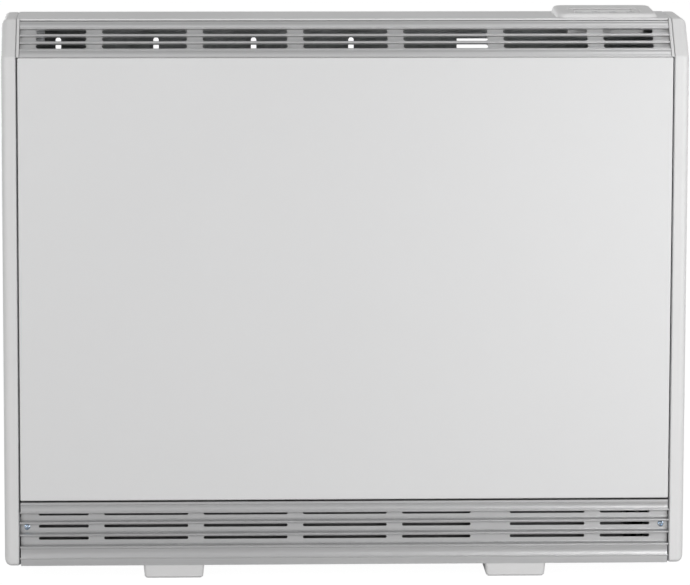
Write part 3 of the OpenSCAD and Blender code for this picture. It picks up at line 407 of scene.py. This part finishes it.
def mineral(name, colour, fibre, depth):
    """Pressed mineral board or fired brick: speckled, matt and rough."""
    finish = Finish(name, specular=0.2)
    speck = finish.group(GRAIN, Scale=fibre, Detail=6.0)
    blotch = finish.group(GRAIN, Scale=fibre * 0.12, Detail=3.0)
    share = finish.sheet.spread(speck.outputs["Value"], 0.35, 0.62, 0.0, 1.0)
    specked = finish.sheet.mix(share, toned(colour, 0.62), colour)
    share = finish.sheet.spread(blotch.outputs["Value"], 0.45, 0.75, 0.0, 0.7)
    finish.colour(finish.sheet.mix(share, specked, toned(colour, 1.25)))
    finish.roughness(finish.sheet.spread(speck.outputs["Value"], *NOISE_RANGE, 0.95, 0.85))
    finish.bump(speck.outputs["Height"], depth, 0.8)
    return finish.material


def sheathed(name, colour):
    """Element tube, oxidised in slow bands by heat."""
    finish = Finish(name, metallic=0.9, specular=0.4)
    bands = finish.group(GRAIN, Scale=1.0, Detail=3.0, Stretch=(14.0, 40.0, 40.0))
    warm = (colour[0] * 1.05, colour[1] * 0.86, colour[2] * 0.66)
    share = finish.sheet.spread(bands.outputs["Value"], 0.4, 0.65, 0.0, 1.0)
    finish.colour(finish.sheet.mix(share, colour, warm))
    finish.roughness(finish.sheet.spread(bands.outputs["Value"], *NOISE_RANGE, 0.35, 0.6))
    fine = finish.group(GRAIN, Scale=1400.0, Detail=2.0)
    finish.bump(fine.outputs["Height"], 0.02 * MM, 0.4)
    return finish.material


def woven(name, colour):
    """Glass braid sleeve: two sets of fine diagonal threads."""
    finish = Finish(name, specular=0.25)
    place = finish.sheet.add("ShaderNodeTexCoord")
    heights = []
    for tilt in (1.0, -1.0):
        turn = finish.sheet.add("ShaderNodeMapping")
        turn.inputs["Rotation"].default_value = (0.3, 0.6 * tilt, 0.8 * tilt)
        finish.sheet.link(place.outputs["Object"], turn.inputs["Vector"])
        threads = finish.sheet.add("ShaderNodeTexWave", {"Scale": 420.0, "Distortion": 0.6})
        finish.sheet.link(turn.outputs["Vector"], threads.inputs["Vector"])
        heights.append(threads.outputs["Fac"])
    braid = finish.sheet.maths("MAXIMUM", heights[0], heights[1])
    finish.colour(finish.sheet.mix(braid, toned(colour, 0.7), colour))
    finish.roughness(finish.sheet.spread(braid, 0.0, 1.0, 0.9, 0.7))
    finish.bump(braid, 0.1 * MM, 0.7)
    return finish.material


def board_mask(name, colour):
    """Solder mask with copper tracks showing through as a lighter green."""
    finish = Finish(name, specular=0.5, coat=0.3)
    place = finish.sheet.add("ShaderNodeTexCoord")
    tracks = finish.sheet.add("ShaderNodeTexBrick", {
        "Scale": 160.0, "Mortar Size": 0.06, "Mortar Smooth": 0.2,
        "Color1": colour, "Color2": rgb(0.04, 0.2, 0.1), "Mortar": rgb(0.12, 0.36, 0.16),
    })
    finish.sheet.link(place.outputs["Object"], tracks.inputs["Vector"])
    finish.colour(tracks.outputs["Color"])
    sheen = finish.group(SHEEN, Low=0.3, High=0.45, Scale=60.0)
    finish.roughness(sheen.outputs["Roughness"])
    finish.bump(tracks.outputs["Fac"], 0.04 * MM, 0.5)
    return finish.material


def display_window(name, node, colour, cell):
    """Dark window: a printed border round the clearer field over the display."""
    low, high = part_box(node)
    middle = (low + high) / 2
    half = (high - low) / 2
    border = 4.5 * MM
    blur = 0.2 * MM
    finish = Finish(name, specular=0.6, coat=0.6, coat_roughness=0.04)
    place = finish.sheet.add("ShaderNodeTexCoord")
    split = finish.sheet.add("ShaderNodeSeparateXYZ")
    finish.sheet.link(place.outputs["Object"], split.inputs[0])
    inside = []
    for axis, label in ((0, "X"), (1, "Y")):
        off = finish.sheet.maths("SUBTRACT", split.outputs[label], middle[axis])
        away = finish.sheet.maths("ABSOLUTE", off)
        edge = half[axis] - border
        inside.append(finish.sheet.spread(away, edge - blur, edge + blur, 1.0, 0.0))
    field = finish.sheet.maths("MULTIPLY", inside[0], inside[1])
    drift = finish.group(DRIFT, Color=cell, Amount=0.08, Scale=30.0)
    finish.colour(finish.sheet.mix(field, colour, drift.outputs["Color"]))
    sheen = finish.group(SHEEN, Low=0.06, High=0.14, Scale=40.0)
    finish.roughness(sheen.outputs["Roughness"])
    return finish.material


FINISHES = {
    "white_moulding": moulded("white_moulding", rgb(0.79, 0.787, 0.787), (0.85, 0.85, 0.85),
                              0.42, 0.5),
    "white_enamel": enamelled("white_enamel", rgb(0.795, 0.795, 0.797)),
    "galvanised_sheet": galvanised("galvanised_sheet", rgb(0.54, 0.55, 0.56)),
    # Painted light: the outlet channels go lighter and less metallic, and their corners get painted
    # shade
    "grille_aluminium": extruded("grille_aluminium", rgb(0.79, 0.79, 0.795), metallic=0.7,
                                 channel_colour=rgb(0.84, 0.84, 0.84), channel_metallic=0.2,
                                 channel_share=0.7, corner_share=0.75),
    "zinc_plate": plated("zinc_plate", rgb(0.55, 0.59, 0.64)),
    "mineral_board": mineral("mineral_board", rgb(0.62, 0.56, 0.43), 420.0, 0.3 * MM),
    "storage_brick": mineral("storage_brick", rgb(0.26, 0.19, 0.15), 300.0, 0.5 * MM),
    "element_sheath": sheathed("element_sheath", rgb(0.33, 0.33, 0.34)),
    "dark_moulding": moulded("dark_moulding", rgb(0.045, 0.045, 0.05), (0.12, 0.12, 0.12),
                             0.4, 0.55),
    "gland_rubber": moulded("gland_rubber", rgb(0.03, 0.03, 0.03), (0.07, 0.07, 0.07),
                            0.6, 0.75, grain=900.0, depth=0.05 * MM, specular=0.3),
    "display_window": display_window("display_window", "display_lens", rgb(0.03, 0.032, 0.036),
                                     rgb(0.14, 0.16, 0.145)),
    "display_face": moulded("display_face", rgb(0.36, 0.42, 0.37), (0.4, 0.46, 0.4), 0.3, 0.4),
    "circuit_board": board_mask("circuit_board", rgb(0.025, 0.14, 0.07)),
    "button_moulding": moulded("button_moulding", rgb(0.6, 0.605, 0.61), (0.7, 0.7, 0.7),
                               0.38, 0.48, grain=2200.0),
    "terminal_moulding": moulded("terminal_moulding", rgb(0.7, 0.67, 0.58), (0.78, 0.75, 0.67),
                                 0.25, 0.35),
    "reset_red": moulded("reset_red", rgb(0.52, 0.03, 0.02), (0.62, 0.08, 0.06), 0.25, 0.35),
    "wire_sleeve": woven("wire_sleeve", rgb(0.72, 0.71, 0.67)),
}


# Sheet parts round the core, painted near black to stand in for the shade inside the casing
SHADED_INSIDE = ("inner_front_panel", "core_tray", "core_cover", "damper_flap")


def dress_nodes():
    """Gives every carried-over part the finish of its slot, or a darker variant of it with painted
    shade.
    """
    # Painted shade: a near-black zinc for the sheets seen through the slots
    inside_shade_zinc = galvanised("inside_shade_galvanised", rgb(0.17, 0.17, 0.172))
    shade_variants = {name: inside_shade_zinc for name in SHADED_INSIDE}
    # Painted shade: the inlet grille with dark channels
    shade_variants["inlet_grille"] = extruded(
        "low_grille_aluminium", rgb(0.76, 0.76, 0.765), metallic=0.82, channel_colour=DEEP_SHADE_TONE,
        channel_metallic=0.82, channel_share=0.6, corner_share=0.0)
    for row in frame["record"]["subparts"]:
        part = NODES[row["node"]]
        part.data.materials.clear()
        part.data.materials.append(shade_variants.get(row["node"], FINISHES[row["material_slot"]]))


# ---------- soft edges ----------

# Turn of the surface from which an edge counts as sharp
SHARP_DEG = 40

SOFT_EDGES = {
    # part: width of the broken edge in millimetres
    "control_bezel": 0.35, "button_1": 0.6, "button_2": 0.6, "button_3": 0.6, "button_4": 0.6,
    "top_panel": 0.35, "left_cheek": 0.6, "right_cheek": 0.6, "display_lens": 0.15,
    "left_wall_bracket": 0.25, "right_wall_bracket": 0.25, "cable_gland": 0.5,
    "control_housing": 0.4, "damper_lever": 0.3, "damper_actuator": 0.5, "terminal_block": 0.6,
    "cable_clamp": 0.6, "cutout_body": 0.6, "casing_screws": 0.5,
    "foot_screws": 0.4, "base_plate": 0.2, "core_cover": 0.2, "left_side_plate": 0.2,
}


def break_edges():
    """Joins the split corners of a part's mesh and rounds its sharp edges."""
    for name, width in SOFT_EDGES.items():
        part = NODES[name]
        weld = part.modifiers.new("join_corners", "WELD")
        weld.merge_threshold = 0.005 * MM
        bevel = part.modifiers.new("soft_edges", "BEVEL")
        bevel.width = width * MM
        bevel.segments = 2
        bevel.limit_method = "ANGLE"
        bevel.angle_limit = math.radians(SHARP_DEG)
        bevel.use_clamp_overlap = True
        bevel.harden_normals = True


# ---------- small pieces that the solids leave out ----------

def finish_piece(name, mesh_builder, slot, body="case"):
    """Builds a mesh piece, gives it its finish and lets it ride on its body."""
    mesh = bpy.data.meshes.new(name)
    shape = bmesh.new()
    mesh_builder(shape)
    bmesh.ops.recalc_face_normals(shape, faces=shape.faces)
    shape.to_mesh(mesh)
    shape.free()
    mesh.materials.append(FINISHES[slot])
    piece = link_new(name, mesh)
    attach(piece, body)
    return piece


def add_revolved(shape, profile, place, turns=24):
    """A closed revolved form from a profile of (radius, height), placed by a matrix."""
    rings = []
    for radius, height in profile:
        if radius <= 0:
            rings.append([shape.verts.new(place @ Vector((0, 0, height)))])
            continue
        rings.append([
            shape.verts.new(place @ Vector((
                radius * math.cos(2 * math.pi * k / turns),
                radius * math.sin(2 * math.pi * k / turns), height)))
            for k in range(turns)
        ])
    for low, high in zip(rings, rings[1:]):
        for k in range(turns):
            corners = [low[k % len(low)], low[(k + 1) % len(low)],
                       high[(k + 1) % len(high)], high[k % len(high)]]
            face = list(dict.fromkeys(corners))
            if len(face) > 2:
                shape.faces.new(face)


def add_slab(shape, outline, low, high, place):
    """A closed slab between two heights from a convex outline."""
    bottom = [shape.verts.new(place @ Vector((x, y, low))) for x, y in outline]
    top = [shape.verts.new(place @ Vector((x, y, high))) for x, y in outline]
    shape.faces.new(bottom[::-1])
    shape.faces.new(top)
    for k in range(len(outline)):
        j = (k + 1) % len(outline)
        shape.faces.new([bottom[k], bottom[j], top[j], top[k]])


def bar(length, width):
    """Outline of a flat bar with clipped corners."""
    x, y, c = length / 2, width / 2, width * 0.25
    return [(-x, -y + c), (-x + c, -y), (x - c, -y), (x, -y + c),
            (x, y - c), (x - c, y), (-x + c, y), (-x, y - c)]


def button_marks():
    """Raised marks on the four buttons: minus, plus, a ring and an arrow."""
    stroke = 0.7 * MM
    reach = 4.2 * MM
    rise = 0.03 * MM
    sunk = 0.1 * MM
    for k in range(1, 5):
        low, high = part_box(f"button_{k}")
        top = Matrix.Translation(((low.x + high.x) / 2, (low.y + high.y) / 2, high.z))

        def mark(shape, kind=k):
            if kind in (1, 2):
                add_slab(shape, bar(reach, stroke), -sunk, rise, top)
            if kind == 2:
                arm = (reach - stroke) / 2
                for side in (-1, 1):
                    step = Matrix.Translation((0, side * (stroke + arm) / 2, 0))
                    add_slab(shape, bar(stroke, arm), -sunk, rise, top @ step)
            if kind == 3:
                outer, inner = reach / 2, reach / 2 - stroke
                add_revolved(shape, [(inner, -sunk), (outer, -sunk), (outer, rise),
                                     (inner, rise), (inner, -sunk)], top)
            if kind == 4:
                tip, tail = reach / 2, -reach * 0.3
                add_slab(shape, [(tail, -tip), (tip, 0), (tail, tip)], -sunk, rise, top)

        finish_piece(f"button_mark_{k}", mark, "dark_moulding", f"press_{k}")


# How far a screw head reaches into the sheet below it
HEAD_SUNK = 0.05 * MM


def cross_screw(shape, place, head_r, head_t):
    """Pan head with a pit and the four arms of a cross, its seat at height 0 and its head up."""
    pit = 0.45 * head_t
    dome = [(0.98 * head_r, -HEAD_SUNK), (head_r, 0.15 * head_t), (0.94 * head_r, 0.55 * head_t),
            (0.74 * head_r, 0.85 * head_t), (0.42 * head_r, head_t)]
    hollow = [(0.34 * head_r, head_t), (0.12 * head_r, pit), (0, pit)]
    add_revolved(shape, [(0, -HEAD_SUNK)] + dome + hollow, place)
    arm = bar(0.3 * head_r, 0.12 * head_r)
    for turn in (0, math.pi / 2):
        spin = place @ Matrix.Rotation(turn, 4, "Z")
        for side in (-1, 1):
            off = Matrix.Translation((side * head_r * 0.36, 0, 0))
            add_slab(shape, arm, 0.97 * head_t, 1.02 * head_t, spin @ off)


def washer_screw(shape, place, head_r, head_t):
    """Domed screw head with a pressed flange and an open cross recess."""
    turns = 32
    dome_r = 0.86 * head_r
    cross_reach, cross_half = 0.62 * head_r, 0.11 * head_r
    cross_floor = 0.45 * head_t

    ways = []
    cross = []
    for k in range(turns):
        angle = 2 * math.pi * (k + 0.5) / turns
        x, y = math.cos(angle), math.sin(angle)
        near, far = sorted((abs(x), abs(y)))
        ways.append((x, y))
        cross.append(max(min(cross_half / near, cross_reach / far), cross_half * math.sqrt(2)))

    rows = []

    def add_ring(radii, heights):
        rows.append([shape.verts.new(place @ Vector((radius * x, radius * y, z)))
                     for (x, y), radius, z in zip(ways, radii, heights)])

    for share in (0.25, 0.86):
        add_ring([share * edge for edge in cross], [cross_floor] * turns)
    for share in (0.0, 0.35, 0.7, 1.0):
        radii = [edge + (dome_r - edge) * share for edge in cross]
        add_ring(radii, [head_t * (1.0 - 0.5 * (radius / dome_r) ** 2.4) for radius in radii])
    for radius, z in ((0.88 * head_r, 0.3 * head_t), (0.99 * head_r, 0.24 * head_t),
                      (head_r, 0.12 * head_t), (head_r, -HEAD_SUNK)):
        add_ring([radius] * turns, [z] * turns)
    for low, high in zip(rows, rows[1:]):
        for k in range(turns):
            j = (k + 1) % turns
            shape.faces.new([low[k], low[j], high[j], high[k]])
    shape.faces.new(rows[0][::-1])
    shape.faces.new(rows[-1])


def inlet_screws():
    """The two screws of the inlet grille, with flange, dome, recess and thread."""
    low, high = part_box("inlet_grille_screws")
    head_r = 3.8 * MM
    head_t = 2.4 * MM
    core_r, crest_r, point_r = 1.55 * MM, 1.9 * MM, 0.4 * MM
    pitch = 1.4 * MM
    first_core, first_crest = -0.1 * MM, -0.7 * MM
    point = low.y - high.y + head_t
    thread = [(0, 0)]
    for k in range(8):
        thread += [(core_r, first_core - pitch * k), (crest_r, first_crest - pitch * k)]
    thread += [(point_r, point), (0, point)]
    out = Matrix.Rotation(math.pi / 2, 4, "X")

    def screws(shape):
        for x, turn in ((low.x + head_r, 20), (high.x - head_r, -35)):
            seat = Matrix.Translation((x, low.y + head_t, (low.z + high.z) / 2)) @ out
            washer_screw(shape, seat @ Matrix.Rotation(math.radians(turn), 4, "Z"),
                         head_r, head_t)
            add_revolved(shape, thread, seat, turns=16)

    piece = finish_piece("inlet_screw_set", screws, "zinc_plate")
    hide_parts("inlet_grille_screws")


def outlet_grille_low_slots():
    """Outlet grille with its slots where the photograph shows them, between the louvres.

    It is the outlet grille's own mesh with its three rows of slots moved down the slope and made
    a little taller. Places are measured from the foot of the slope: up it, and square into it.
    """
    foot = Vector((0, -85 * MM, 664 * MM))
    up_slope = Vector((0, 1, 1)).normalized()
    into_slope = Vector((0, 1, -1)).normalized()
    web_front, web_back = 6.0 * MM, 7.8 * MM
    first_top, row_pitch = 27.15 * MM, 11.87 * MM
    slot_h = 6.4 * MM
    low_slot_h = 7.4 * MM
    drop = 1.15 * MM
    slack = 0.06 * MM

    source = NODES["outlet_grille"]
    mesh = source.data.copy()
    for vertex in mesh.vertices:
        place = vertex.co - foot
        deep = place.dot(into_slope)
        if not web_front - slack < deep < web_back + slack:
            continue
        for row in range(3):
            below = first_top + row_pitch * row - place.dot(up_slope)
            if -slack < below < slot_h + slack:
                vertex.co -= up_slope * (drop + below * (low_slot_h / slot_h - 1))
    piece = link_new("outlet_grille_low_slots", mesh)
    piece.matrix_world = source.matrix_world
    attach(piece, "case")
    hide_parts("outlet_grille")


def back_panel_screws():
    """Screws that hold the back panel to the side plates and to the tray's back edge."""
    low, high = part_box("back_panel")
    head_r = 3.6 * MM
    head_t = 2.0 * MM
    edge = 6 * MM
    first_z, last_z = low.z + 30 * MM, high.z - 50 * MM
    rows = 5
    out = Matrix.Rotation(-math.pi / 2, 4, "X")

    def heads(shape):
        step = (last_z - first_z) / (rows - 1)
        for side in (-1, 1):
            for k in range(rows):
                spot = Vector((side * (high.x - edge), high.y, first_z + k * step))
                cross_screw(shape, Matrix.Translation(spot) @ out, head_r, head_t)

    finish_piece("back_panel_screws", heads, "zinc_plate")


# ---------- studio ----------

WHITE = rgb(1, 1, 1)

FLOOR_HALF = 12.0
FLOOR_DROP = 0.2 * MM
FLOOR_TONE = rgb(0.5, 0.5, 0.5)
FLOOR_GLOW = 1.19

# Share of the glow in what the camera sees of the floor, and in what glossy surfaces see of it
FLOOR_GLOW_SEEN = 0.82
FLOOR_GLOW_IN_GLOSS = 0.1

# Light from all round, and what glossy surfaces see of the room in front and behind
WORLD_LIGHT = 0.33
ROOM_FRONT = 0.12
ROOM_BACK = 0.8

# Where the room in front ends and the room behind starts, as the Y of a direction
ROOM_FRONT_Y, ROOM_BACK_Y = -0.7, 0.6

LAMPS = (
    # name, place, what it is aimed at, width and height in metres, watts
    ("key_right", (1.5, -1.3, 0.62), (0.25, 0, 0.3), 0.6, 0.8, 12.6),
    ("front_right", (0.95, -2.4, 0.5), (0.3, 0, 0.2), 0.5, 0.5, 5.6),
    ("top_right", (0.8, -0.35, 2.1), (0.45, 0, 0.7), 0.5, 0.5, 2.2),
    ("fill_left", (-2.2, -2.8, 1.1), (-0.1, 0, 0.3), 1.6, 1.6, 42),
    ("back_fill", (-1.7, 3.0, 0.9), (0, 0, 0.3), 1.4, 1.4, 22),
)


def ray_kinds(sheet):
    """Masks of the camera's own rays and of those that glossy and clear surfaces send on."""
    path = sheet.add("ShaderNodeLightPath")
    gloss = sheet.maths("MAXIMUM", path.outputs["Is Glossy Ray"],
                        path.outputs["Is Transmission Ray"])
    return path.outputs["Is Camera Ray"], gloss


def stage_floor():
    """Pale floor that runs back to the white; it stays white to the eye and keeps the shadow."""
    mesh = bpy.data.meshes.new("studio_floor")
    x = y = FLOOR_HALF
    mesh.from_pydata([(-x, -y, 0), (x, -y, 0), (x, y, 0), (-x, y, 0)], [], [(0, 1, 2, 3)])
    floor = link_new("studio_floor", mesh)
    floor.location.z = -FLOOR_DROP
    material = bpy.data.materials.new("studio_floor")
    material.use_nodes = True
    sheet = Sheet(material.node_tree)
    material.node_tree.nodes.clear()
    matt = sheet.add("ShaderNodeBsdfDiffuse", {"Color": FLOOR_TONE})
    glow = sheet.add("ShaderNodeEmission", {"Color": WHITE, "Strength": FLOOR_GLOW})
    eye, gloss = ray_kinds(sheet)
    share = sheet.maths("ADD", sheet.maths("MULTIPLY", eye, FLOOR_GLOW_SEEN),
                        sheet.maths("MULTIPLY", gloss, FLOOR_GLOW_IN_GLOSS))
    mix = sheet.add("ShaderNodeMixShader")
    sheet.link(share, mix.inputs[0])
    sheet.link(matt.outputs[0], mix.inputs[1])
    sheet.link(glow.outputs[0], mix.inputs[2])
    out = sheet.add("ShaderNodeOutputMaterial")
    sheet.link(mix.outputs[0], out.inputs["Surface"])
    mesh.materials.append(material)


def studio_world():
    """White to the eye, a pale room to gloss and glass, a soft even light to everything else."""
    world = bpy.data.worlds.new("studio")
    bpy.context.scene.world = world
    world.use_nodes = True
    sheet = Sheet(world.node_tree)
    back = world.node_tree.nodes["Background"]
    back.inputs["Color"].default_value = WHITE
    place = sheet.add("ShaderNodeTexCoord")
    split = sheet.add("ShaderNodeSeparateXYZ")
    sheet.link(place.outputs["Generated"], split.inputs[0])
    room = sheet.spread(split.outputs["Y"], ROOM_FRONT_Y, ROOM_BACK_Y, ROOM_FRONT, ROOM_BACK)
    eye, gloss = ray_kinds(sheet)
    room_part = sheet.maths("MULTIPLY", gloss, sheet.maths("SUBTRACT", room, WORLD_LIGHT))
    eye_part = sheet.maths("MULTIPLY", eye, 1.0 - WORLD_LIGHT)
    level = sheet.maths("ADD", sheet.maths("ADD", room_part, eye_part), WORLD_LIGHT)
    sheet.link(level, back.inputs["Strength"])


def studio_lamps():
    """Soft boxes: three small ones near the right end, fills from the left and from behind."""
    for name, at, aim, width, height, power in LAMPS:
        lamp = bpy.data.lights.new(name, "AREA")
        lamp.shape = "RECTANGLE"
        lamp.size = width
        lamp.size_y = height
        lamp.energy = power
        rig = link_new(name, lamp)
        rig.location = at
        rig.rotation_euler = (Vector(aim) - Vector(at)).to_track_quat("-Z", "Y").to_euler()


def place_camera():
    """Camera at the photograph's viewing angle."""
    lens = bpy.data.cameras.new("camera")
    lens.sensor_width = SENSOR_MM
    lens.lens = CAMERA_FOCAL_PX / FRAME_W * SENSOR_MM
    lens.shift_x, lens.shift_y = CAMERA_SHIFT
    lens.clip_end = CAMERA_CLIP_END
    rig = link_new("camera", lens)
    turn = Matrix.Rotation(-math.radians(CAMERA_RIGHT_DEG), 4, "Z")
    tilt = Matrix.Rotation(math.radians(90 - CAMERA_DOWN_DEG), 4, "X")
    roll = Matrix.Rotation(math.radians(CAMERA_ROLL_DEG), 4, "Z")
    rig.matrix_world = Matrix.Translation(CAMERA_AT) @ turn @ tilt @ roll
    bpy.context.scene.camera = rig


bpy.context.scene.view_settings.view_transform = "Standard"
place_camera()
studio_world()
studio_lamps()
stage_floor()
dress_nodes()
break_edges()
button_marks()
inlet_screws()
outlet_grille_low_slots()
back_panel_screws()
